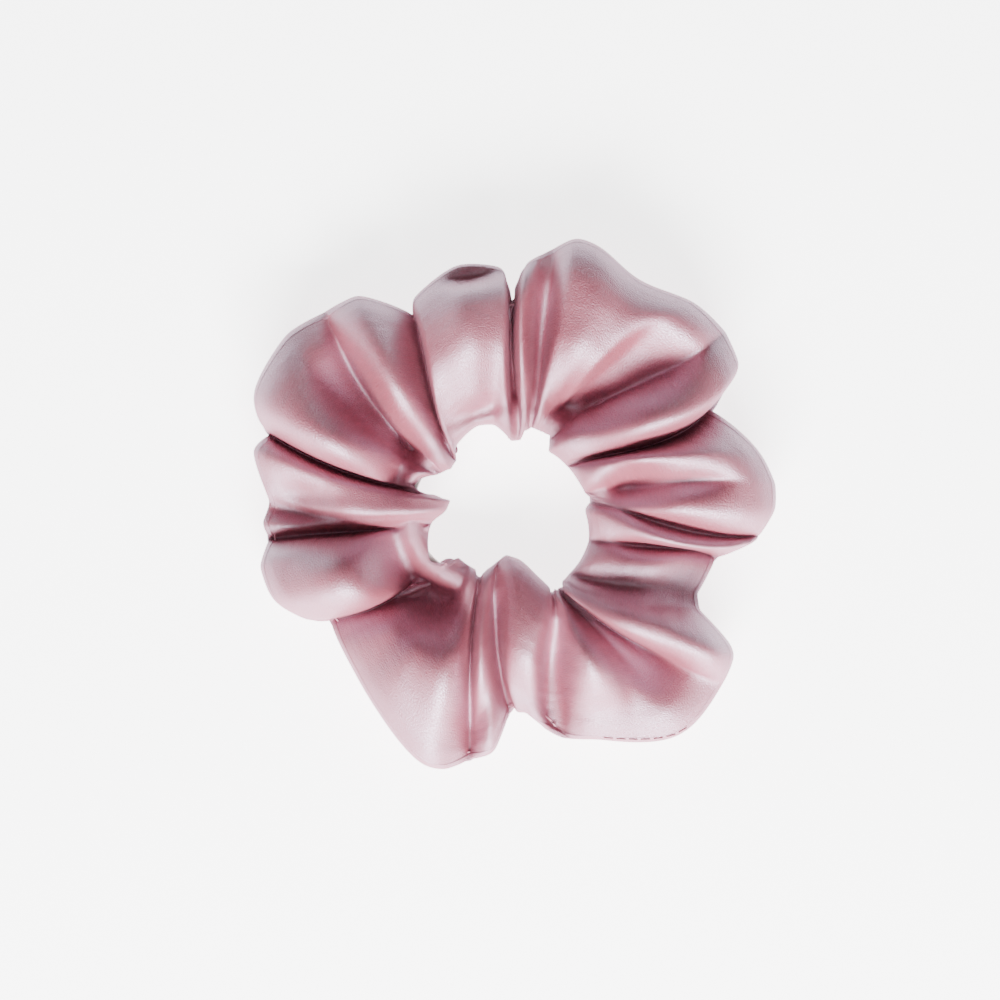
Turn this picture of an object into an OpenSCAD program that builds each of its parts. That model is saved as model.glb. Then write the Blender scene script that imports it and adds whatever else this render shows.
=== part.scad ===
// Satin scrunchie: a gathered tube of cloth on a sewn loop of flat elastic.
// Origin: centre of the hole, on the surface that the scrunchie lies on. +Z up.

/* [Elastic] */
// Inner radius of the elastic loop at rest
elastic_r = 20; // [18:0.5:22]
// Width of the elastic, standing on edge round the loop
elastic_w = 6; // [4:0.5:7]
// Thickness of the elastic
elastic_t = 1.2; // [0.8:0.1:1.5]
// Length over which the elastic's two ends lie on each other
overlap_len = 10; // [8:1:14]
// Height of the elastic's middle above the surface
elastic_z = 10; // [9:0.5:11]

/* [Cover] */
// Radius to which the deepest gathers draw back, just clear of the elastic inside them
gather_r = 17; // [16:0.2:17.2]
// How far the fullest gathers stand into the hole from there
gather_bulge = 4.6; // [3:0.2:4.6]
// Radius of the cover's outer edge in the valleys between the lobes
valley_r = 45; // [42:0.5:47]
// Height of the cloth in the valleys between the lobes
valley_h = 17; // [15:0.5:19]
// Height of the outer edge, where the long seam runs
seam_z = 9; // [8:0.5:10]
// Thickness of the gathered cloth
wall = 0.8; // [0.6:0.1:1]

/* [Seams] */
// Width of the seam allowance, which stands inwards from the outer edge
allowance = 6; // [4:0.5:8]
// Thickness of the sewing thread
thread_d = 0.4; // [0.3:0.05:0.5]
// Length of one stitch
stitch_len = 2; // [1.5:0.25:2.5]
// Distance from one stitch to the next
stitch_pitch = 2.75; // [2.5:0.25:4]
// Where the gap for threading the elastic starts and ends, round the outer edge
gap_start = 287; // [280:1:292]
gap_end = 308; // [298:1:320]
// Where the strip's short ends are sewn together
cross_seam_at = 214; // [200:1:230]

/* [Hidden] */

satin = "#e3b4c1";
thread = "#d9a3b3";
elastic_white = "#f2efe9";

// Lobes of gathered cloth: direction in degrees, half width in degrees, reach and height in millimetres.
LOBES = [
    [1, 20, 56, 25], [40, 17, 60, 27], [71, 17, 59, 28], [96, 11, 53, 26], [113, 9, 50, 22],
    [142, 26, 61, 27], [171, 13, 57, 23], [192, 15, 56, 26], [211, 13, 52, 23], [231, 15, 52, 24],
    [252, 17, 59, 26], [275, 11, 50, 24], [302, 27, 62, 27], [338, 15, 47, 23],
];
// How round a lobe is: 0.5 is a half circle, 1 a parabola.
LOBE_POWER = 0.6;

STATION_STEP = 4;
// Half the gap between the halves of the cover.
half_gap = 0.15;
// Directions round the cloth's section: 0 is the outer edge, 90 the top, 180 the hole's side.
SEAM_SPREAD = 6;
SECTION = concat([-SEAM_SPREAD, -2, 2, SEAM_SPREAD], [for (p = [30 : 30 : 330]) p]);
SECTION_POWER = 0.8;
// How far the underside's round would reach below the surface, on which it lies flat instead.
FLATTENING = 1.25;
FACE_SIDES = 16;
ELASTIC_SIDES = 180;

function turn_between(a, b) = let (d = abs(a - b) % 360) min(d, 360 - d);
function rise(a, lobe) = let (t = min(1, turn_between(a, lobe[0]) / lobe[1])) pow(1 - t * t, LOBE_POWER);

// Outer edge, height and hole edge of the cloth in direction a.
function reach(a) = valley_r + max([for (l = LOBES) (l[2] - valley_r) * rise(a, l)]);
function height(a) = valley_h + max([for (l = LOBES) (l[3] - valley_h) * rise(a, l)]);
function hole_edge(a) = gather_r - gather_bulge * max([for (l = LOBES) rise(a, l)]);

// A cosine or sine with its rounds flattened, which squares the section's shoulders.
function squared(v) = sign(v) * pow(abs(v), SECTION_POWER);

// Point of the cloth in direction a, p degrees round its section, inset below the outer face.
function cloth(a, p, inset = 0) =
    let (
        middle = (reach(a) + hole_edge(a)) / 2,
        half = (reach(a) - hole_edge(a)) / 2 - inset,
        up = sin(p) > 0 ? height(a) - seam_z - inset : seam_z * FLATTENING,
        out = middle + half * squared(cos(p)),
        z = max(inset, seam_z + up * squared(sin(p)))
    )
    [out * cos(a), out * sin(a), z];

// Point of the seam allowance, in millimetres in from the outer edge and above its middle.
function allowance_point(a, inward, above) =
    let (out = reach(a) - inward) [out * cos(a), out * sin(a), seam_z + above];

function outer_ring(a) = [for (p = SECTION) cloth(a, p)];
function inner_ring(a) = concat(
    [
        allowance_point(a, wall, -wall / 2),
        allowance_point(a, wall + allowance, -wall / 2),
        allowance_point(a, wall + allowance, wall / 2),
        allowance_point(a, wall, wall / 2),
    ],
    [for (i = [4 : len(SECTION) - 1]) cloth(a, SECTION[i], wall)]
);

// Closed shell of cloth from one direction round to another, with its seam allowance inside.
module cloth_shell(from, to) {
    n = len(SECTION);
    m = round((to - from) / STATION_STEP);
    stations = [for (s = [0 : m]) from + s * STATION_STEP];
    points = [for (a = stations) each concat(outer_ring(a), inner_ring(a))];
    sides = [
        for (s = [0 : m - 1], k = [0 : n - 1])
            let (
                a = s * 2 * n + k,
                b = s * 2 * n + (k + 1) % n,
                c = b + 2 * n,
                d = a + 2 * n
            )
            each [[a, b, c], [a, c, d], [n + a, n + d, n + c], [n + a, n + c, n + b]]
    ];
    last = m * 2 * n;
    caps = [
        for (k = [0 : n - 1])
            let (j = (k + 1) % n)
            each [[k, k + n, j + n, j], [last + k, last + j, last + j + n, last + k + n]]
    ];
    polyhedron(points, concat(sides, caps));
}

// One straight stitch of thread between two points.
module stitch(p, q) {
    v = q - p;
    translate(p)
        rotate([0, acos(v.z / norm(v)), atan2(v.y, v.x)])
            cylinder(d = thread_d, h = norm(v), $fn = FACE_SIDES);
}

// Directions at which the stitches of a run round the outer edge start.
function stitch_step(a) = stitch_pitch / reach(a) * 180 / PI;
function stitch_starts(a, to) = a >= to ? [] : concat([a], stitch_starts(a + stitch_step(a), to));

module edge_stitches(from, to, inward) {
    for (a = stitch_starts(from, to)) {
        b = a + stitch_step(a) * stitch_len / stitch_pitch;
        stitch(allowance_point(a, inward, wall / 2), allowance_point(b, inward, wall / 2));
    }
}

module satin_cover_left() {
    color(satin) translate([-half_gap, 0, 0]) cloth_shell(90, 270);
}

module satin_cover_right() {
    color(satin) translate([half_gap, 0, 0]) cloth_shell(-90, 90);
}

// Lockstitch through the seam allowance, close inside the outer edge.
seam_inset = wall + 1.2;

// How far, in degrees, the seam stops short of the gap and of the line between the two halves.
seam_stop = 4;

module long_seam_stitches_left() {
    color(thread) edge_stitches(90 + seam_stop, 270 - seam_stop, seam_inset);
}

module long_seam_stitches_right() {
    color(thread) {
        edge_stitches(gap_end + seam_stop - 360, 90 - seam_stop, seam_inset);
        edge_stitches(270 + seam_stop, gap_start - seam_stop, seam_inset);
    }
}

// Ring of stitches that joins the strip's short ends, on the inner face of the cloth.
module cross_seam_stitches() {
    color(thread)
        for (p = [36 : 18 : 324])
            stitch(cloth(cross_seam_at, p, wall), cloth(cross_seam_at, p + 9, wall));
}

// Row of stitches that closes the gap, on the outer face beside the edge.
module closing_topstitch() {
    edge_p = 12;
    color(thread)
        for (a = stitch_starts(gap_start, gap_end)) {
            b = a + stitch_step(a) * stitch_len / stitch_pitch;
            stitch(cloth(a, edge_p), cloth(b, edge_p));
        }
}

// Part of a band that stands on edge round the loop.
module band(r, angle) {
    rotate_extrude(angle = angle, $fn = ELASTIC_SIDES)
        translate([r, elastic_z - elastic_w / 2])
            square([elastic_t, elastic_w]);
}

// How far the stitches press the two ends into each other.
lap_press = 0.1;
overlap_angle = overlap_len / (elastic_r + elastic_t) * 180 / PI;
join_at = 180;

// Loop of flat elastic, one end lapped over the other on the outside.
module elastic_band() {
    color(elastic_white) {
        band(elastic_r, 360);
        rotate([0, 0, join_at - overlap_angle / 2]) band(elastic_r + elastic_t - lap_press, overlap_angle);
    }
}

// Zigzag of thread through both ends of the elastic.
module elastic_join_stitches() {
    zigs = 6;
    margin = 1;
    free_ends = 6;
    step = (overlap_angle - free_ends) / zigs;
    outside = elastic_r + 2 * elastic_t - lap_press;
    low = elastic_z - elastic_w / 2 + margin;
    high = elastic_z + elastic_w / 2 - margin;
    start = join_at - step * zigs / 2;
    function zig(i) = let (a = start + i * step) [
        outside * cos(a), outside * sin(a), i % 2 == 0 ? low : high
    ];
    // Each rod stops short of the next one.
    reach_of_zig = 0.85;
    color(thread)
        for (i = [0 : zigs - 1])
            stitch(zig(i), zig(i) + reach_of_zig * (zig(i + 1) - zig(i)));
}

satin_cover_left();
satin_cover_right();
long_seam_stitches_left();
long_seam_stitches_right();
cross_seam_stitches();
closing_topstitch();
elastic_band();
elastic_join_stitches();
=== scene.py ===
"""A pink satin scrunchie lying flat on a pale surface, seen from straight above."""
import math

import bpy
import numpy as np
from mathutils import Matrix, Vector


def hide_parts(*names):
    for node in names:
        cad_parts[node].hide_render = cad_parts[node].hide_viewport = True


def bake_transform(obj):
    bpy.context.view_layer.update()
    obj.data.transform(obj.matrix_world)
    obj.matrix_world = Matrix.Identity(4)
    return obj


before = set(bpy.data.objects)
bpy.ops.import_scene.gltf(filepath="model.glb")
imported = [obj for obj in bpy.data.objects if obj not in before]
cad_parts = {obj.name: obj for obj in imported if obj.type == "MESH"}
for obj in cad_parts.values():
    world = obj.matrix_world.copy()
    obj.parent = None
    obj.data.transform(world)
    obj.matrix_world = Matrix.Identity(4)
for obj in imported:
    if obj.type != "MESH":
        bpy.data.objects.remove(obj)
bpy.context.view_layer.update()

MM = 0.001

# The strip of satin as it was cut, and what its seams take up, in millimetres.
STRIP_WIDTH = 114
STRIP_LENGTH = 406
SEAM_ALLOWANCE = 6
TUBE_ROUND = STRIP_WIDTH - 2 * SEAM_ALLOWANCE
TUBE_LENGTH = STRIP_LENGTH - 2 * SEAM_ALLOWANCE
CLOTH_THICKNESS = 0.35

# Heights in millimetres above the surface.
EDGE_HEIGHT = 9
CEILING = 27.5

# The flat elastic stands on edge inside the tube, this far out from the cloth at the hole.
ELASTIC_WIDTH = 6
ELASTIC_THICKNESS = 1.2
ELASTIC_MIDDLE = 7.6
ELASTIC_BEHIND_CLOTH = 3.6
ELASTIC_LAP = 10
ELASTIC_JOIN_AT = 180
THREAD_THICKNESS = 0.4
STITCH_LENGTH = 2
STITCH_PITCH = 2.75

# Directions in degrees, as in FOLDS: the gap that is closed last, and the seam across the strip.
GAP_STARTS_AT = 650
GAP_ENDS_AT = 668
CROSS_SEAM_AT = 574
FULL_TURN = 360

# How the gathered cloth lies, round the loop from the right and anticlockwise. Each line is a ridge,
# a valley or a shoulder across the cloth: the direction in degrees and the radius in millimetres of
# its end at the hole, the direction of its middle, the direction and radius of its end at the outer
# edge, and its heights near the hole, in the middle and near the outer edge.
FOLDS = [
    # the dip between the two lobes at the right
    (332, 19, 342, 344, 46, 11, 5, 7),
    # right lobe: a thin roll, a lens-shaped dip, a band, a small eye and a broad top
    (352, 16, 345, 350, 53, 16, 19, 18),
    (358, 17, 350.5, 351.5, 54, 14, 8, 11),
    (361, 17, 357, 358, 57, 14, 22, 22),
    (365, 16, 366, 363, 57, 11, 14, 22),
    (375, 15, 374, 370, 55, 20, 23, 22),
    (391, 14, 381.5, 384.5, 47, 11, 5, 7),
    # upper right lobe: a thick roll, a deep pouch, a broad face, a pocket and a rolled edge
    (412, 13, 388, 390.5, 57, 18, 26, 25),
    (419, 16, 402, 398, 58.5, 11, 5, 20),
    (424, 16, 414, 407, 58, 12, 14, 25),
    (427, 16, 418, 420, 53.5, 14, 23, 26),
    (429, 16, 426, 431, 58, 17, 25, 26),
    (431, 16, 434, 436, 58, 18, 23, 25),
    (434, 16, 438, 440, 55, 12, 8, 13),
    (436, 15.5, 441.5, 443, 53, 13, 9, 15),
    (438.5, 15, 446.5, 446, 51, 17, 23, 24),
    (441, 13, 449, 449, 43, 11, 5, 6),
    (450, 12.5, 450.5, 450.5, 42, 14, 6, 6),
    # top lobe: a broad barrel
    (463, 16.5, 453, 452, 50, 19, 24, 24),
    (475, 17.5, 465, 463, 52, 22, 27, 26),
    (497, 16.5, 482, 476, 48, 18, 23, 23),
    (505, 14.5, 486, 478, 45, 11, 5, 7),
    # upper left lobe: two barrels with a deep dip between them
    (513, 14.5, 496, 487, 55, 18, 26, 24),
    (519, 16, 505, 495, 57, 11, 3, 11),
    (522, 17, 512, 503, 60, 13, 11, 19),
    (527, 20, 522.5, 518, 60.5, 19, 26, 25),
    (532.5, 21, 528, 522.5, 57, 17, 20, 17),
    (535, 20, 530.5, 525, 54, 11, 4, 6),
    # left lobe: a barrel that splits into a ridge and a small scallop
    (541, 13, 535, 529, 57, 16, 18, 18),
    (549, 14, 545, 538, 53, 17, 19, 14),
    (552, 15, 547.5, 541, 52, 15, 16, 6),
    (555, 17, 549.5, 545.5, 54, 12, 11, 13),
    (557, 18, 551.5, 549.5, 53, 11, 4, 5),
    # lower left lobe: a thick barrel
    (561, 19, 556, 555, 56, 12, 20, 20),
    (571, 21, 568, 563, 56, 14, 27, 24),
    (578, 22, 577, 570.5, 51, 12, 19, 17),
    (584, 20, 580, 573.5, 47, 11, 5, 7),
    # bottom left lobe: a broad petal with a dimple and a narrow roll at its right
    (588, 17, 584, 578, 48, 12, 12, 12),
    (592, 17, 590, 587, 50, 12, 17, 17),
    (597, 17, 598, 598, 54, 11, 21, 21),
    (603, 17, 609, 612, 61, 17, 24, 20),
    (606, 18, 614, 616.5, 60, 17, 19, 14),
    (608, 18, 616.5, 621, 57, 12, 8, 7),
    (611, 16, 619.5, 626, 55, 18, 21, 18),
    (617, 14, 623, 629.5, 46, 11, 5, 7),
    # bottom lobe: a short barrel like a leaf
    (624, 12, 626, 631, 45, 14, 10, 9),
    (641, 13, 628.5, 632, 46, 20, 22, 17),
    (653, 20, 638, 634, 46, 22, 23, 17),
    # bottom right lobe: a dimple, a curved ridge, a broad pouch and a sharp upper rim
    (654, 22, 641.5, 640, 51, 15, 5, 7),
    (655, 22, 647, 643, 53, 14, 6, 8),
    (656, 22, 655.5, 650, 55, 19, 26, 18),
    (657, 22, 662, 657, 59, 15, 18, 16),
    (658, 22, 666, 666, 64, 12, 14, 18),
    (659, 22, 671, 679, 60.5, 12, 7, 17),
    (660, 22, 674, 686, 58.5, 20, 26, 27),
    (662, 21, 679, 689.5, 47, 17, 18, 12),
    # lower right lobe: a low fold
    (667, 20.5, 685, 693, 45, 12, 11, 11),
    (678, 20, 696, 700, 45.5, 16, 17, 12),
]

# Small dents and bumps besides: direction and radius of the middle, half size towards the hole and
# across that, and height, all in millimetres but the direction.
DENTS = [
    (8, 26.5, 4.5, 3.5, -10),
    (17, 28, 4, 3, 5),
    (60, 22, 3, 2.5, -9),
    (49, 27.5, 5, 5, -7),
    (100, 48.5, 1.5, 6, -10),
    (112, 20, 2, 5, -5),
    (152, 26, 5, 2.5, -6),
    (163, 24.5, 2.5, 4.5, -8),
    (179, 44, 5, 1.5, -7),
    (209, 25.5, 3, 5, -14),
    (229, 28, 5, 7, -14),
    (262, 46, 7, 2, -4),
    (312, 46, 10, 7, -4),
]

# How tightly the cloth may be drawn together on top, at the hole and underneath, and how far it may
# give, each as a share of its length as cut.
TIGHT_ON_TOP = 0.64
TIGHT_AT_HOLE = 0.45
TIGHT_BELOW = 0.95
LOOSE = 1.3


# ---------------------------------------------------------------- the folds, as a guide for the cloth


def elastic_radius(a):
    """Radius of the elastic's middle in the directions a, in radians: a soft curve round the hole."""
    ends = np.array(FOLDS, float)
    known = np.radians(ends[:, 0])
    waves = (1, 2, 3)

    def terms(x):
        swings = [wave(k * x) for k in waves for wave in (np.cos, np.sin)]
        return np.stack([np.ones_like(x)] + swings, axis=-1)

    parts, *_ = np.linalg.lstsq(terms(known), ends[:, 1] + ELASTIC_BEHIND_CLOTH, rcond=None)
    return terms(a) @ parts


def keep_off_elastic(points):
    """Lifts the top of the cloth over the elastic and lowers its underside under it."""
    clearance = 0.9
    roundness = 0.5
    sides = points.shape[1]
    half = sides // 2 + 1
    x, y, z = (points[..., axis] for axis in range(3))
    off = np.abs(np.hypot(x, y) - elastic_radius(np.arctan2(y, x)))
    fall = roundness * np.maximum(0, off - ELASTIC_THICKNESS / 2) ** 2
    over = ELASTIC_MIDDLE + ELASTIC_WIDTH / 2 + clearance - fall
    under = ELASTIC_MIDDLE - ELASTIC_WIDTH / 2 - clearance + fall
    z[:, :half] = np.maximum(z[:, :half], over[:, :half])
    z[:, half:] = np.minimum(z[:, half:], under[:, half:])


def fold_line(line, inward, on_top):
    """Points of fold lines, given as columns, at the share inward of the way from the edge to the hole."""
    inner_a, inner_r, middle_a, outer_a, outer_r, near, middle, far = line
    share = (1 - np.cos(math.pi * inward)) / 2
    r = outer_r + (inner_r - outer_r) * share
    start = 4 * middle_a - 3 * outer_a - inner_a
    bend = 2 * (inner_a + outer_a - 2 * middle_a)
    a = np.radians(outer_a + (start + bend * share) * share)
    # The three heights hold at a quarter, a half and three quarters of the way.
    from_middle = np.minimum(4 * np.abs(inward - 0.5), 1)
    ease = from_middle * from_middle * (3 - 2 * from_middle)
    height = middle + np.where(inward > 0.5, near - middle, far - middle) * ease
    # Underneath, the cloth lies on the surface below the ridges and is a little off it below valleys.
    off_surface, ridge, valley = 5, 27, 8
    floor = np.clip(off_surface * (ridge - middle) / (ridge - valley), 0, off_surface)
    fullness = 0.75
    bulge = np.sin(math.pi * inward) ** fullness
    z = EDGE_HEIGHT + np.where(on_top, height - EDGE_HEIGHT, floor - EDGE_HEIGHT) * bulge
    return np.stack([r * np.cos(a), r * np.sin(a), z], axis=-1)


def fold_values(stations):
    """The values of FOLDS at stations along the cloth, which are as far apart everywhere.

    Between a valley and a ridge the cloth stands up steeply from the valley and turns over to the
    ridge, so the heights change early or late on the way, and the directions the other way round.
    """
    first = np.array(FOLDS[0], float)
    directions = [0, 2, 3]
    first[directions] += FULL_TURN
    lines = np.vstack([np.array(FOLDS, float), first])
    measured_at = np.array([[0.1, 0.3, 0.5]])
    tops = fold_line(lines.T[:, :, None], measured_at, True)
    run = np.sqrt((np.diff(tops, axis=0) ** 2).sum(axis=2)).mean(axis=1)
    place = np.concatenate([[0], np.cumsum(run)]) / run.sum() * stations
    u = np.arange(stations)
    k = np.clip(np.searchsorted(place, u, "right") - 1, 0, len(run) - 1)
    a, b = lines[k], lines[k + 1]
    x = ((u - place[k]) / (place[k + 1] - place[k]))[:, None]
    early = np.sin(x * math.pi / 2)
    late = 1 - np.cos(x * math.pi / 2)
    level = x * x * (3 - 2 * x)
    steep = 4
    rise = b - a
    values = a + rise * np.where(rise > steep, early, np.where(rise < -steep, late, level))
    middle_rise = rise[:, 6:7]
    turned = np.where(middle_rise > steep, late, np.where(middle_rise < -steep, early, x))
    roundness = 0.7
    values[:, :5] = (a + rise * (x + roundness * (turned - x)))[:, :5]
    return values


def rested(folds):
    """How far apart the points of the cloth rest, along, round and both ways across: as in the folds,
    but no tighter or looser than the limits above let the strip be."""
    stations, sides, _ = folds.shape
    along = TUBE_LENGTH / stations
    round_ = TUBE_ROUND / sides
    v = np.arange(sides) / sides
    hole_side = 0.36
    tight = np.where(v < hole_side, TIGHT_ON_TOP, np.where(v < 0.5, TIGHT_AT_HOLE, TIGHT_BELOW))
    out = []
    for du, dv, plain in ((1, 0, along), (0, 1, round_), (1, 1, None), (1, -1, None)):
        plain = plain or math.hypot(along, round_)
        length = np.sqrt(((np.roll(folds, (-du, -dv), axis=(0, 1)) - folds) ** 2).sum(axis=2))
        out.append(np.clip(length, tight * plain, LOOSE * plain))
    return out


def guide(stations, sides):
    """Where the folds would lie if the cloth had no length of its own: points [station, side]."""
    v = np.arange(sides)[None, :] / sides
    lines = fold_values(stations).T[:, :, None]
    points = fold_line(lines, 2 * np.minimum(v, 1 - v), v <= 0.5)
    # Dents fade out towards the hole and the outer edge.
    fade = 1.5
    top = np.where(v <= 0.5, np.clip(np.sin(2 * math.pi * v) * fade, 0, 1), 0)
    for angle, radius, deep, wide, height in DENTS:
        a = math.radians(angle)
        inwards = points[..., 0] * math.cos(a) + points[..., 1] * math.sin(a) - radius
        across = points[..., 1] * math.cos(a) - points[..., 0] * math.sin(a)
        points[..., 2] += top * height * np.exp(-((inwards / deep) ** 2) - (across / wide) ** 2)
    points[..., 2] = np.maximum(points[..., 2], 0)
    keep_off_elastic(points)
    return points


def open_tube(stations, sides):
    """The tube of cloth before it is gathered: a wide ring, its round section free of folds."""
    ring = TUBE_LENGTH / (2 * math.pi)
    tube = TUBE_ROUND / (2 * math.pi)
    a = np.arange(stations)[:, None] / stations * 2 * math.pi
    p = np.arange(sides)[None, :] / sides * 2 * math.pi
    r = ring + tube * np.cos(p)
    points = np.stack([r * np.cos(a), r * np.sin(a), tube * (1 + np.sin(p)) + 0 * a], axis=2)
    unevenness = np.random.default_rng(7).normal(0, 1, points.shape)
    smoothings = 6
    for _ in range(smoothings):
        unevenness += sum(np.roll(unevenness, turn, axis) for turn in (1, -1) for axis in (0, 1))
        unevenness /= 5
    return points + unevenness


# ---------------------------------------------------------------- cloth, as a grid of points


def hold_length(points, du, dv, rest, stretch, squeeze):
    """Moves each point and the one (du, dv) further on towards their resting distance."""
    apart = np.roll(points, (-du, -dv), axis=(0, 1)) - points
    length = np.maximum(np.sqrt((apart * apart).sum(axis=2)), 1e-6)
    error = length - rest
    half = (0.5 * np.where(error > 0, stretch, squeeze) * error / length)[..., None] * apart
    points += half
    points -= np.roll(half, (du, dv), axis=(0, 1))


def close_pairs(points, reach):
    """Pairs of points nearer than reach that aren't neighbours in the cloth, found by sorting into cells."""
    stations, sides, _ = points.shape
    flat = points.reshape(-1, 3)
    cell = np.floor(flat / reach).astype(np.int64)
    cell -= cell.min(axis=0) - 1
    size = cell.max(axis=0) + 2
    key = (cell[:, 0] * size[1] + cell[:, 1]) * size[2] + cell[:, 2]
    order = np.argsort(key, kind="stable")
    key = key[order]
    near = (-1, 0, 1)
    steps = [(a, b, c) for a in near for b in near for c in near if (a, b, c) >= (0, 0, 0)]
    found = []
    for a, b, c in steps:
        other = key + (a * size[1] + b) * size[2] + c
        low = np.searchsorted(key, other, "left")
        if (a, b, c) == (0, 0, 0):
            low = np.arange(len(key)) + 1
        count = np.searchsorted(key, other, "right") - low
        for k in range(count.max()):
            has = count > k
            found.append((order[has], order[low[has] + k]))
    i = np.concatenate([pair[0] for pair in found])
    j = np.concatenate([pair[1] for pair in found])
    along = np.abs(i // sides - j // sides)
    round_ = np.abs(i % sides - j % sides)
    along = np.minimum(along, stations - along)
    round_ = np.minimum(round_, sides - round_)
    distance = ((flat[i] - flat[j]) ** 2).sum(axis=1)
    keep = ((along > 2) | (round_ > 2)) & (distance < reach * reach)
    return i[keep], j[keep]


def push_apart(points, pairs, gap):
    """Moves the points of each pair that are nearer than gap away from each other."""
    i, j = pairs
    flat = points.reshape(-1, 3)
    apart = flat[i] - flat[j]
    length = np.sqrt((apart * apart).sum(axis=1))
    near = length < gap
    i, j, apart, length = i[near], j[near], apart[near], length[near]
    push = (0.5 * (gap - length) / np.maximum(length, 1e-6))[:, None] * apart
    count = np.bincount(i, minlength=len(flat)) + np.bincount(j, minlength=len(flat))
    ease = 1 / np.sqrt(np.maximum(count, 1))
    for axis in range(3):
        total = np.bincount(i, push[:, axis], len(flat)) - np.bincount(j, push[:, axis], len(flat))
        flat[:, axis] += total * ease


def outward(points):
    """Normals of the grid, as long as the area that each point stands for, four times over."""
    along = np.roll(points, -1, axis=0) - np.roll(points, 1, axis=0)
    round_ = np.roll(points, -1, axis=1) - np.roll(points, 1, axis=1)
    return np.cross(along, round_)


def simulate(points, target_at, rest, steps, gap, pull, passes=8, squeeze=0.2, bend=0.03, speed=1.5):
    """Lets the cloth move for some steps: it keeps its length, bends, meets itself and the surface,
    and is drawn by the elastic and by the guide that target_at gives for each step.

    rest holds the lengths from rested(), gap is how near the cloth comes to itself in millimetres, and
    pull is the guide's pull in the first and the last step. squeeze and bend are how firmly the cloth
    resists both, and speed is the furthest that it carries on by itself in a step, in millimetres.
    """
    stations, sides, _ = points.shape
    along = TUBE_LENGTH / stations
    round_ = TUBE_ROUND / sides
    rest_along, rest_round, rest_across, rest_back = rest
    v = np.arange(sides) / sides
    at_hole, near_hole = 0.4, 0.03
    gathered = at_hole * np.exp(-(((v - 0.5) / near_hole) ** 2))[None, :, None]
    underneath = (v > 0.56) & (v < 0.95)
    guided = np.where(underneath, 0.08, 1.0)[None, :, None]
    pull_first, pull_last = pull
    puff, weight, keep = 0.02, 0.01, 0.9
    firm, slanting = 0.9, 0.4
    look_ahead = 1.2
    elastic_from = 0.7
    velocity = np.zeros_like(points)
    for step in range(steps):
        done = step / max(1, steps - 1)
        target = target_at(done)
        velocity *= keep
        velocity[..., 2] -= weight
        velocity += puff * outward(points) / (4 * along * round_)
        fast = np.sqrt((velocity * velocity).sum(axis=2))[..., None]
        velocity *= np.minimum(1, speed / np.maximum(fast, 1e-9))
        before = points.copy()
        points = points + velocity
        points += (pull_first + (pull_last - pull_first) * done) * guided * (target - points)
        pairs = close_pairs(points, gap + look_ahead)
        for _ in range(passes):
            hold_length(points, 1, 0, rest_along, firm, squeeze)
            hold_length(points, 0, 1, rest_round, firm, squeeze)
            hold_length(points, 1, 1, rest_across, slanting, squeeze * slanting)
            hold_length(points, 1, -1, rest_back, slanting, squeeze * slanting)
            hold_length(points, 2, 0, 2 * along, 0, bend)
            hold_length(points, 0, 2, 2 * round_, 0, bend)
            push_apart(points, pairs, gap)
            points += gathered * (target - points)
            if done > elastic_from:
                keep_off_elastic(points)
            np.clip(points[..., 2], 0, CEILING, out=points[..., 2])
        velocity = points - before
    return points


def doubled(points):
    """The same cloth with twice the points each way, on a smooth curve through the old ones."""
    for axis in (0, 1):
        back, on, further = (np.roll(points, -k, axis) for k in (-1, 1, 2))
        middle = (9 * (points + on) - back - further) / 16
        size = list(points.shape)
        size[axis] *= 2
        out = np.empty(size)
        even = [slice(None)] * 3
        odd = [slice(None)] * 3
        even[axis] = slice(0, None, 2)
        odd[axis] = slice(1, None, 2)
        out[tuple(even)] = points
        out[tuple(odd)] = middle
        points = out
    return points


def seamed(points):
    """The cloth with a groove along the long seam and a low step where the allowance under it ends."""
    groove, step = -0.4, 0.2
    sides = points.shape[1]
    from_seam = np.arange(sides) / sides
    from_seam = np.minimum(from_seam, 1 - from_seam) * TUBE_ROUND
    raised_by = np.where(from_seam < 0.5, groove, np.where(from_seam < SEAM_ALLOWANCE, step, 0))
    normal = outward(points)
    return points + raised_by[:, None] * normal / np.linalg.norm(normal, axis=2, keepdims=True)


def gathered_cloth():
    """The tube of cloth drawn in by the elastic: points [station, side], in millimetres."""
    stations, sides = 150, 36
    folds = guide(stations, sides)
    wide = open_tube(stations, sides)
    fine = guide(2 * stations, 2 * sides)

    def drawn_in(done):
        t = min(1, done / 0.8)
        return wide + (folds - wide) * t * t * (3 - 2 * t)

    def folded(done):
        return folds

    def finely_folded(done):
        return fine

    rest = rested(folds)
    points = simulate(wide.copy(), drawn_in, rest, 130, 2.4, (0.06, 0.2), squeeze=0.12)
    points = simulate(points, folded, rest, 40, 1.8, (0.4, 0.3), squeeze=0.15, bend=0.02)
    rest = rested(fine)
    points = simulate(doubled(points), finely_folded, rest, 40, 1.0, (0.4, 0.3), speed=0.6)
    points = simulate(
        points, finely_folded, rest, 12, 1.0, (0.5, 0.5), passes=3, squeeze=0.1, bend=0.01, speed=0.3
    )
    return seamed(points)


# ---------------------------------------------------------------- meshes


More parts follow.
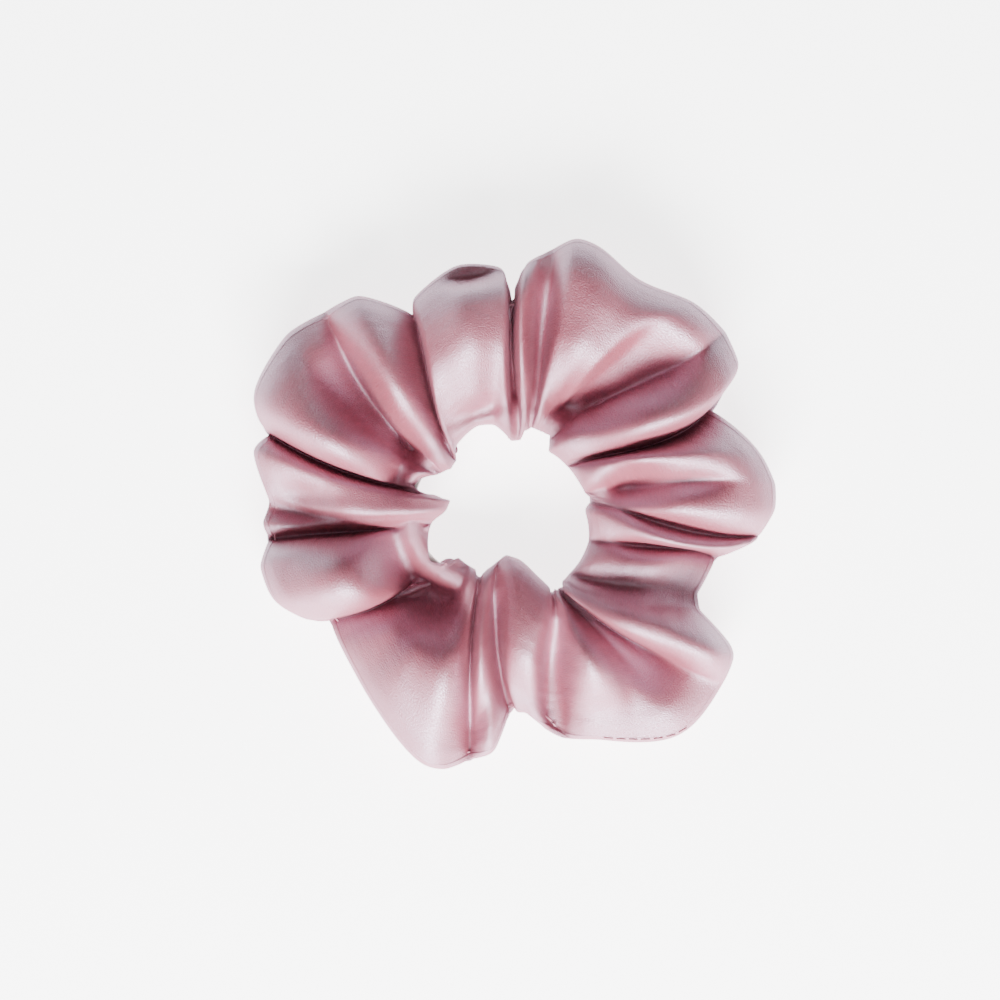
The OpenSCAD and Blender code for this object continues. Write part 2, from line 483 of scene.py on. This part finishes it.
def grid_mesh(name, points, material):
    """A closed mesh of a grid of points that joins up both ways, with the cloth's own UV map."""
    stations, sides, _ = points.shape
    index = np.arange(stations * sides).reshape(stations, sides)
    right = np.roll(index, -1, axis=0)
    faces = np.stack(
        [index, right, np.roll(right, -1, axis=1), np.roll(index, -1, axis=1)], axis=2
    ).reshape(-1, 4)
    mesh = bpy.data.meshes.new(name)
    mesh.from_pydata((points.reshape(-1, 3) * MM).tolist(), [], faces.tolist())
    u = np.arange(stations)[:, None] / stations + np.zeros((1, sides))
    v = np.arange(sides)[None, :] / sides + np.zeros((stations, 1))
    corners = [(0, 0), (1, 0), (1, 1), (0, 1)]
    uv = np.stack(
        [np.stack([u + du / stations, v + dv / sides], axis=2) for du, dv in corners], axis=2
    )
    layer = mesh.uv_layers.new(name="cloth")
    layer.data.foreach_set("uv", uv.astype(np.float32).ravel())
    mesh.polygons.foreach_set("use_smooth", np.ones(len(faces), bool))
    mesh.materials.append(material)
    obj = bpy.data.objects.new(name, mesh)
    bpy.context.collection.objects.link(obj)
    return obj


def apply_modifiers(obj):
    """Makes the object's mesh what its modifiers show."""
    graph = bpy.context.evaluated_depsgraph_get()
    mesh = bpy.data.meshes.new_from_object(obj.evaluated_get(graph))
    obj.modifiers.clear()
    obj.data = mesh


def on_cloth(points, u, v, depth=0.0):
    """Points of the cloth at the shares u along and v round it, depth millimetres below its face."""
    stations, sides, _ = points.shape
    normal = outward(points)
    normal /= np.linalg.norm(normal, axis=2, keepdims=True)
    grid = points - depth * normal
    i, j = np.asarray(u) % 1 * stations, np.asarray(v) % 1 * sides
    i0, j0 = np.floor(i).astype(int), np.floor(j).astype(int)
    s, t = (i - i0)[..., None], (j - j0)[..., None]
    i0, i1, j0, j1 = i0 % stations, (i0 + 1) % stations, j0 % sides, (j0 + 1) % sides
    here = (1 - t) * grid[i0, j0] + t * grid[i0, j1]
    further = (1 - t) * grid[i1, j0] + t * grid[i1, j1]
    return (1 - s) * here + s * further


def allowance_leaf(points, side):
    """One of the two leaves of the seam allowance, along the outer edge of the tube and midway between
    its top and its underside. side is 1 for the upper leaf and -1 for the lower one.

    In sharp valleys between lobes their outer edge still stands out of the cover a little.
    """
    u = np.arange(points.shape[0])[:, None] / points.shape[0]
    # Lines from the outer edge inwards, as shares of the way round the cloth.
    reach, steps = 0.3, 31
    round_ = np.linspace(0, reach, steps)
    middle = (on_cloth(points, u, round_) + on_cloth(points, u, -round_)) / 2
    way = middle[:, -1:] - middle[:, :1]
    way /= np.linalg.norm(way, axis=2, keepdims=True)
    inwards = np.maximum.accumulate(((middle - middle[:, :1]) * way).sum(axis=2), axis=1)

    def at(distance):
        return np.array([
            [np.interp(distance, run, line[:, axis]) for axis in range(3)]
            for run, line in zip(inwards, middle)
        ])

    starts_at = 1.0
    outer = at(starts_at)
    inner = at(starts_at + SEAM_ALLOWANCE)
    thickness = 0.25
    near_face, far_face = 0.1, 1.1
    up = np.array([0, 0, 1.0])
    low, high = (side * thickness * share * up for share in (near_face, far_face))
    return np.stack([outer + low, inner + low, inner + high, outer + high], axis=1)


def join_into(obj, others):
    """Makes the others' meshes part of the object's."""
    chosen = [obj, *others]
    with bpy.context.temp_override(
        active_object=obj, object=obj, selected_objects=chosen, selected_editable_objects=chosen
    ):
        bpy.ops.object.join()


def make_cover(points, material):
    """The gathered strip of satin with its thickness, and the two leaves of its seam allowance."""
    cover = grid_mesh("satin_cover", points, material)
    cover.modifiers.new("smooth", "SUBSURF").levels = 1
    wall = cover.modifiers.new("wall", "SOLIDIFY")
    wall.thickness = CLOTH_THICKNESS * MM
    wall.offset = -1
    apply_modifiers(cover)
    leaves = [grid_mesh("leaf", allowance_leaf(points, side), material) for side in (1, -1)]
    join_into(cover, leaves)
    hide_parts("satin_cover_left", "satin_cover_right")
    return cover


def make_stitches(name, starts, ends, material):
    """One rod of thread, thin at both ends, from each start to its end, in millimetres."""
    sides = 8
    # Where each ring lies on the way, and how wide it is, both as shares.
    rings = ((0, 0.5), (0.12, 1), (0.88, 1), (1, 0.5))
    way = ends - starts
    way_unit = way / np.linalg.norm(way, axis=1, keepdims=True)
    helper = np.where(np.abs(way_unit[:, 2:]) < 0.9, [[0, 0, 1.0]], [[1.0, 0, 0]])
    across = np.cross(way_unit, helper)
    across /= np.linalg.norm(across, axis=1, keepdims=True)
    other = np.cross(way_unit, across)
    turn = np.arange(sides) / sides * 2 * math.pi
    cosine = across[:, None, :] * np.cos(turn)[None, :, None]
    sine = other[:, None, :] * np.sin(turn)[None, :, None]
    circle = (cosine + sine) * THREAD_THICKNESS / 2
    points = np.stack(
        [(starts + share * way)[:, None, :] + wide * circle for share, wide in rings], axis=1
    )
    count = len(rings) * sides
    faces = []
    for start in range(0, len(starts) * count, count):
        for ring in range(len(rings) - 1):
            for k in range(sides):
                a = start + ring * sides + k
                b = start + ring * sides + (k + 1) % sides
                faces.append((a, b, b + sides, a + sides))
        faces.append(tuple(start + k for k in reversed(range(sides))))
        faces.append(tuple(start + count - sides + k for k in range(sides)))
    return plain_piece(name, points.reshape(-1, 3), faces, material)


def plain_piece(name, points, faces, material):
    """A smooth-shaded piece from points in millimetres and faces."""
    mesh = bpy.data.meshes.new(name)
    mesh.from_pydata((points * MM).tolist(), [], faces)
    mesh.polygons.foreach_set("use_smooth", np.ones(len(faces), bool))
    mesh.materials.append(material)
    obj = bpy.data.objects.new(name, mesh)
    bpy.context.collection.objects.link(obj)
    return obj


def edge_shares(points, starts_at, ends_at):
    """Shares along the cloth at which stitches start and end, between two directions of its edge."""
    edge = points[:, 0]
    stations = len(edge)
    direction = np.degrees(np.unwrap(np.arctan2(edge[:, 1], edge[:, 0])))
    direction += FULL_TURN * np.round((FOLDS[0][3] - direction[0]) / FULL_TURN)
    run = np.linalg.norm(np.roll(edge, -1, axis=0) - edge, axis=1)
    length = np.concatenate([[0], np.cumsum(run)])
    first, last = (np.searchsorted(direction, at) for at in (starts_at, ends_at))
    starts = np.arange(length[first], length[last] - STITCH_LENGTH, STITCH_PITCH)
    shares = np.arange(stations + 1) / stations
    return np.interp(starts, length, shares), np.interp(starts + STITCH_LENGTH, length, shares)


def make_long_seam(cloth, thread):
    """The stitches through the seam allowance, all round the outer edge but for the gap."""
    into_tube = 1.6
    turn_starts = FOLDS[0][3]
    runs = [
        edge_shares(cloth, turn_starts, GAP_STARTS_AT),
        edge_shares(cloth, GAP_ENDS_AT, turn_starts + FULL_TURN),
    ]
    first, last = (np.concatenate([run[k] for run in runs]) for k in (0, 1))
    starts = on_cloth(cloth, first, 0, into_tube)
    ends = on_cloth(cloth, last, 0, into_tube)
    seam = make_stitches("long_seam_stitches", starts, ends, thread)
    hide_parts("long_seam_stitches_left", "long_seam_stitches_right")
    return seam


def make_closing_topstitch(cloth, thread):
    """The row of stitches that closes the gap, on the cover's face beside its edge."""
    beside_edge, off_face = 0.05, -0.1
    first, last = edge_shares(cloth, GAP_STARTS_AT, GAP_ENDS_AT)
    starts = on_cloth(cloth, first, beside_edge, off_face)
    ends = on_cloth(cloth, last, beside_edge, off_face)
    closing = make_stitches("closing_topstitch", starts, ends, thread)
    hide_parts("closing_topstitch")
    return closing


def make_cross_seam(cloth, thread):
    """The ring of stitches that joins the strip's short ends, on the cloth's inner face."""
    inside_face = CLOTH_THICKNESS + THREAD_THICKNESS / 2
    # Any run of stitches that starts there gives the place of its first one.
    some_way = 10
    place = edge_shares(cloth, CROSS_SEAM_AT, CROSS_SEAM_AT + some_way)[0][0]
    first, last = 0.06, 0.94
    round_ = np.arange(first, last, STITCH_PITCH / TUBE_ROUND)
    starts = on_cloth(cloth, place, round_, inside_face)
    ends = on_cloth(cloth, place, round_ + STITCH_LENGTH / TUBE_ROUND, inside_face)
    cross = make_stitches("cross_seam_stitches", starts, ends, thread)
    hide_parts("cross_seam_stitches")
    return cross


def on_elastic(a, out, up):
    """Points in the directions a, so many millimetres out from the elastic's inner face and up from
    its middle."""
    r = elastic_radius(a) - ELASTIC_THICKNESS / 2 + out
    return np.stack([r * np.cos(a), r * np.sin(a), ELASTIC_MIDDLE + up + 0 * a], axis=-1)


def elastic_lap():
    """How far round the loop the elastic's ends lie on each other, in radians."""
    return ELASTIC_LAP / elastic_radius(np.radians([float(ELASTIC_JOIN_AT)]))[0]


def make_elastic_band(material):
    """A loop of flat elastic, one end lapped over the other."""
    lap = elastic_lap()
    sections = 181
    share = np.linspace(0, 1, sections)
    a = math.radians(ELASTIC_JOIN_AT) - lap / 2 + share * (2 * math.pi + lap)
    # The band climbs from the inner to the outer layer just before it laps over its own start.
    climb_over, clearance = 0.25, 0.02
    climb = np.clip((share * (2 * math.pi + lap) - 2 * math.pi + climb_over) / climb_over, 0, 1)
    out = climb * climb * (3 - 2 * climb) * (ELASTIC_THICKNESS + clearance)
    half = ELASTIC_WIDTH / 2
    rounded = 0.25
    outline = [
        (0, -half + rounded), (rounded, -half), (ELASTIC_THICKNESS - rounded, -half),
        (ELASTIC_THICKNESS, -half + rounded), (ELASTIC_THICKNESS, half - rounded),
        (ELASTIC_THICKNESS - rounded, half), (rounded, half), (0, half - rounded),
    ]
    points = np.stack([on_elastic(a, out + x, z) for x, z in outline], axis=1)
    n = len(outline)
    faces = [
        (k * n + j, k * n + (j + 1) % n, (k + 1) * n + (j + 1) % n, (k + 1) * n + j)
        for k in range(sections - 1) for j in range(n)
    ]
    faces.append(tuple(reversed(range(n))))
    faces.append(tuple((sections - 1) * n + j for j in range(n)))
    band = plain_piece("elastic_band", points.reshape(-1, 3), faces, material)
    layer = band.data.uv_layers.new(name="band")
    corner_of = np.array([loop.vertex_index for loop in band.data.loops])
    uv = np.stack([share[corner_of // n], corner_of % n / n], axis=1)
    layer.data.foreach_set("uv", uv.astype(np.float32).ravel())
    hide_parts("elastic_band")
    return band


def make_elastic_join(thread):
    """The zigzag of thread through both ends of the elastic."""
    zigs = 8
    margin, off_face, gap_at_tip, share_of_lap = 1, 0.05, 0.06, 0.4
    half = ELASTIC_WIDTH / 2
    places = np.linspace(-share_of_lap, share_of_lap, zigs + 1)
    corners = math.radians(ELASTIC_JOIN_AT) + places * elastic_lap()
    height = np.where(np.arange(zigs + 1) % 2 == 0, -1, 1) * (half - margin)
    tips = on_elastic(corners, 2 * ELASTIC_THICKNESS + off_face, height)
    shorter = gap_at_tip * (tips[1:] - tips[:-1])
    join = make_stitches(
        "elastic_join_stitches", tips[:-1] + shorter, tips[1:] - shorter, thread
    )
    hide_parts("elastic_join_stitches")
    return join


def stretch_along(obj):
    """Bakes the piece's placement into its mesh, so that the object itself has no move, turn or scale."""
    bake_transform(obj)


# ---------------------------------------------------------------- materials


def new_material(name):
    material = bpy.data.materials.new(name)
    material.use_nodes = True
    return material, material.node_tree.nodes, material.node_tree.links


def add_node(nodes, kind, **values):
    node = nodes.new(kind)
    for name, value in values.items():
        setattr(node, name, value)
    return node


def combine(nodes, links, operation, a, b=0.0):
    """A math node that works on two values, each a number or a socket."""
    node = add_node(nodes, "ShaderNodeMath", operation=operation)
    for socket, value in zip(node.inputs, (a, b)):
        if isinstance(value, (int, float)):
            socket.default_value = value
        else:
            links.new(value, socket)
    return node.outputs[0]


def grain(nodes, links, uv_name, size, detail):
    """Noise in grains of the given size along and across the piece's own map, each a share of the map."""
    place = add_node(nodes, "ShaderNodeUVMap", uv_map=uv_name)
    mapping = add_node(nodes, "ShaderNodeMapping")
    mapping.inputs["Scale"].default_value = (1 / size[0], 1 / size[1], 1)
    links.new(place.outputs["UV"], mapping.inputs["Vector"])
    noise = add_node(nodes, "ShaderNodeTexNoise")
    noise.inputs["Scale"].default_value = 1
    noise.inputs["Detail"].default_value = detail
    links.new(mapping.outputs["Vector"], noise.inputs["Vector"])
    return noise.outputs["Fac"]


def ramp(nodes, links, value, low, high):
    """The colour from low to high that the value picks."""
    node = add_node(nodes, "ShaderNodeValToRGB")
    node.color_ramp.elements[0].position = 0.3
    node.color_ramp.elements[0].color = (*low, 1)
    node.color_ramp.elements[1].position = 0.7
    node.color_ramp.elements[1].color = (*high, 1)
    links.new(value, node.inputs["Fac"])
    return node.outputs["Color"]


def raised(nodes, links, height, distance, under=None):
    """A bump node for a height, distance metres deep, on top of another bump."""
    node = add_node(nodes, "ShaderNodeBump")
    node.inputs["Distance"].default_value = distance
    links.new(height, node.inputs["Height"])
    if under is not None:
        links.new(under, node.inputs["Normal"])
    return node.outputs["Normal"]


def seam_height(nodes, links):
    """A height that is low in a groove along the long seam and steps down where the allowance ends."""
    groove_width, step_height = 0.6, 0.35
    place = add_node(nodes, "ShaderNodeUVMap", uv_map="cloth")
    split = add_node(nodes, "ShaderNodeSeparateXYZ")
    links.new(place.outputs["UV"], split.inputs["Vector"])
    from_seam = combine(nodes, links, "PINGPONG", split.outputs["Y"], 0.5)
    from_seam = combine(nodes, links, "MULTIPLY", from_seam, TUBE_ROUND)
    groove = combine(nodes, links, "MINIMUM", from_seam, groove_width)
    allowance = combine(nodes, links, "SUBTRACT", from_seam, SEAM_ALLOWANCE)
    allowance = combine(nodes, links, "MULTIPLY", allowance, -1)
    allowance = combine(nodes, links, "SMOOTH_MAX", allowance, 0.0)
    step = combine(nodes, links, "MINIMUM", allowance, step_height)
    return combine(nodes, links, "ADD", groove, step)


def satin_material():
    """Pink satin: saturated in its folds, with a pale, soft shine and a fine grain along the strip.
    The long seam lies in a fine groove, and the edge of the allowance under it shows as a low step."""
    material, nodes, links = new_material("satin")
    shader = nodes["Principled BSDF"]
    streaks = grain(nodes, links, "cloth", (3 / TUBE_LENGTH, 0.3 / TUBE_ROUND), 3)
    speckles = grain(nodes, links, "cloth", (0.3 / TUBE_LENGTH, 0.3 / TUBE_ROUND), 2)
    unevenness = grain(nodes, links, "cloth", (9 / TUBE_LENGTH, 5 / TUBE_ROUND), 2)
    pink = ramp(nodes, links, streaks, (0.22, 0.008, 0.019), (0.3, 0.018, 0.036))
    links.new(pink, shader.inputs["Base Color"])
    rough = ramp(nodes, links, speckles, (0.42, 0.42, 0.42), (0.72, 0.72, 0.72))
    links.new(rough, shader.inputs["Roughness"])
    shader.inputs["IOR"].default_value = 2.2
    shader.inputs["Specular IOR Level"].default_value = 1.0
    shader.inputs["Specular Tint"].default_value = (0.86, 0.83, 1, 1)

    seam = raised(nodes, links, seam_height(nodes, links), 0.5 * MM)
    soft = raised(nodes, links, unevenness, 0.35 * MM, seam)
    woven = raised(nodes, links, streaks, 0.02 * MM, soft)
    fine = raised(nodes, links, speckles, 0.15 * MM, woven)
    links.new(fine, shader.inputs["Normal"])
    return material


def thread_material(name, low, high):
    """Twisted polyester thread, its colour a little uneven."""
    material, nodes, links = new_material(name)
    shader = nodes["Principled BSDF"]
    place = add_node(nodes, "ShaderNodeTexCoord")
    noise = add_node(nodes, "ShaderNodeTexNoise")
    noise.inputs["Scale"].default_value = 900
    links.new(place.outputs["Object"], noise.inputs["Vector"])
    links.new(ramp(nodes, links, noise.outputs["Fac"], low, high), shader.inputs["Base Color"])
    shader.inputs["Roughness"].default_value = 0.5
    return material


def elastic_material():
    """White braided elastic, ribbed along its length."""
    material, nodes, links = new_material("elastic")
    shader = nodes["Principled BSDF"]
    loop_length = 130
    ribs = grain(nodes, links, "band", (0.9 / loop_length, 0.04), 1)
    links.new(ramp(nodes, links, ribs, (0.72, 0.7, 0.66), (0.88, 0.87, 0.84)), shader.inputs["Base Color"])
    shader.inputs["Roughness"].default_value = 0.75
    links.new(raised(nodes, links, ribs, 0.25 * MM), shader.inputs["Normal"])
    return material


def make_stage():
    """A plain pale surface under the scrunchie, which glows a little so that its shadows stay light."""
    half, below = 1.5, -0.3 * MM
    corners = [(-half, -half, below), (half, -half, below), (half, half, below), (-half, half, below)]
    mesh = bpy.data.meshes.new("floor")
    mesh.from_pydata(corners, [], [(0, 1, 2, 3)])
    material, nodes, _ = new_material("floor")
    shader = nodes["Principled BSDF"]
    shader.inputs["Base Color"].default_value = (0.97, 0.97, 0.97, 1)
    shader.inputs["Roughness"].default_value = 0.8
    shader.inputs["Emission Color"].default_value = (1, 1, 1, 1)
    shader.inputs["Emission Strength"].default_value = 3.5
    mesh.materials.append(material)
    floor = bpy.data.objects.new("floor", mesh)
    bpy.context.collection.objects.link(floor)


def make_light(name, place, aim, size, power):
    """A rectangular light of the given size in metres and power in watts, turned to face aim."""
    light = bpy.data.lights.new(name, "AREA")
    light.shape = "RECTANGLE"
    light.size, light.size_y = size
    light.energy = power
    obj = bpy.data.objects.new(name, light)
    obj.location = place
    obj.rotation_euler = (Vector(aim) - Vector(place)).to_track_quat("-Z", "Y").to_euler()
    bpy.context.collection.objects.link(obj)


def make_lights():
    """A broad window towards the bottom of the picture, a faint ceiling light and a dim room."""
    world = bpy.data.worlds.new("studio")
    world.use_nodes = True
    background = world.node_tree.nodes["Background"]
    background.inputs["Color"].default_value = (1, 0.99, 0.985, 1)
    background.inputs["Strength"].default_value = 0.1
    bpy.context.scene.world = world
    make_light("window", (0.0, -0.9, 0.64), (0, 0, 0), (1.0, 0.4), 77)
    make_light("ceiling", (0.05, -0.35, 1.0), (0, 0, 0), (1.1, 0.9), 5)


def make_camera():
    """Straight down on the scrunchie, whose hole is a little right of and above the middle."""
    camera = bpy.data.cameras.new("camera")
    camera.lens = 85
    camera.sensor_width = 36
    # How wide the view is, in metres, at this height above the surface.
    view_width, at_height = 0.215, 0.012
    distance = view_width * camera.lens / camera.sensor_width
    camera.clip_start = 0.01
    obj = bpy.data.objects.new("camera", camera)
    obj.location = (-0.0024, -0.0002, at_height + distance)
    bpy.context.collection.objects.link(obj)
    bpy.context.scene.camera = obj


make_camera()
make_lights()
make_stage()
cloth = gathered_cloth()
satin = satin_material()
cover = make_cover(cloth, satin)
# The pink is the thread's own colour, but it is set darker than the thread really is: painted shade that
# stands in for the shadows at the stitch holes.
pink_thread_with_painted_shade = thread_material("thread", (0.34, 0.12, 0.17), (0.5, 0.22, 0.28))
elastic = elastic_material()
white_thread = thread_material("elastic_thread", (0.8, 0.78, 0.75), (0.9, 0.89, 0.87))
pieces = [
    cover,
    make_long_seam(cloth, pink_thread_with_painted_shade),
    make_closing_topstitch(cloth, pink_thread_with_painted_shade),
    make_cross_seam(cloth, pink_thread_with_painted_shade),
    make_elastic_band(elastic),
    make_elastic_join(white_thread),
]
for piece in pieces:
    stretch_along(piece)
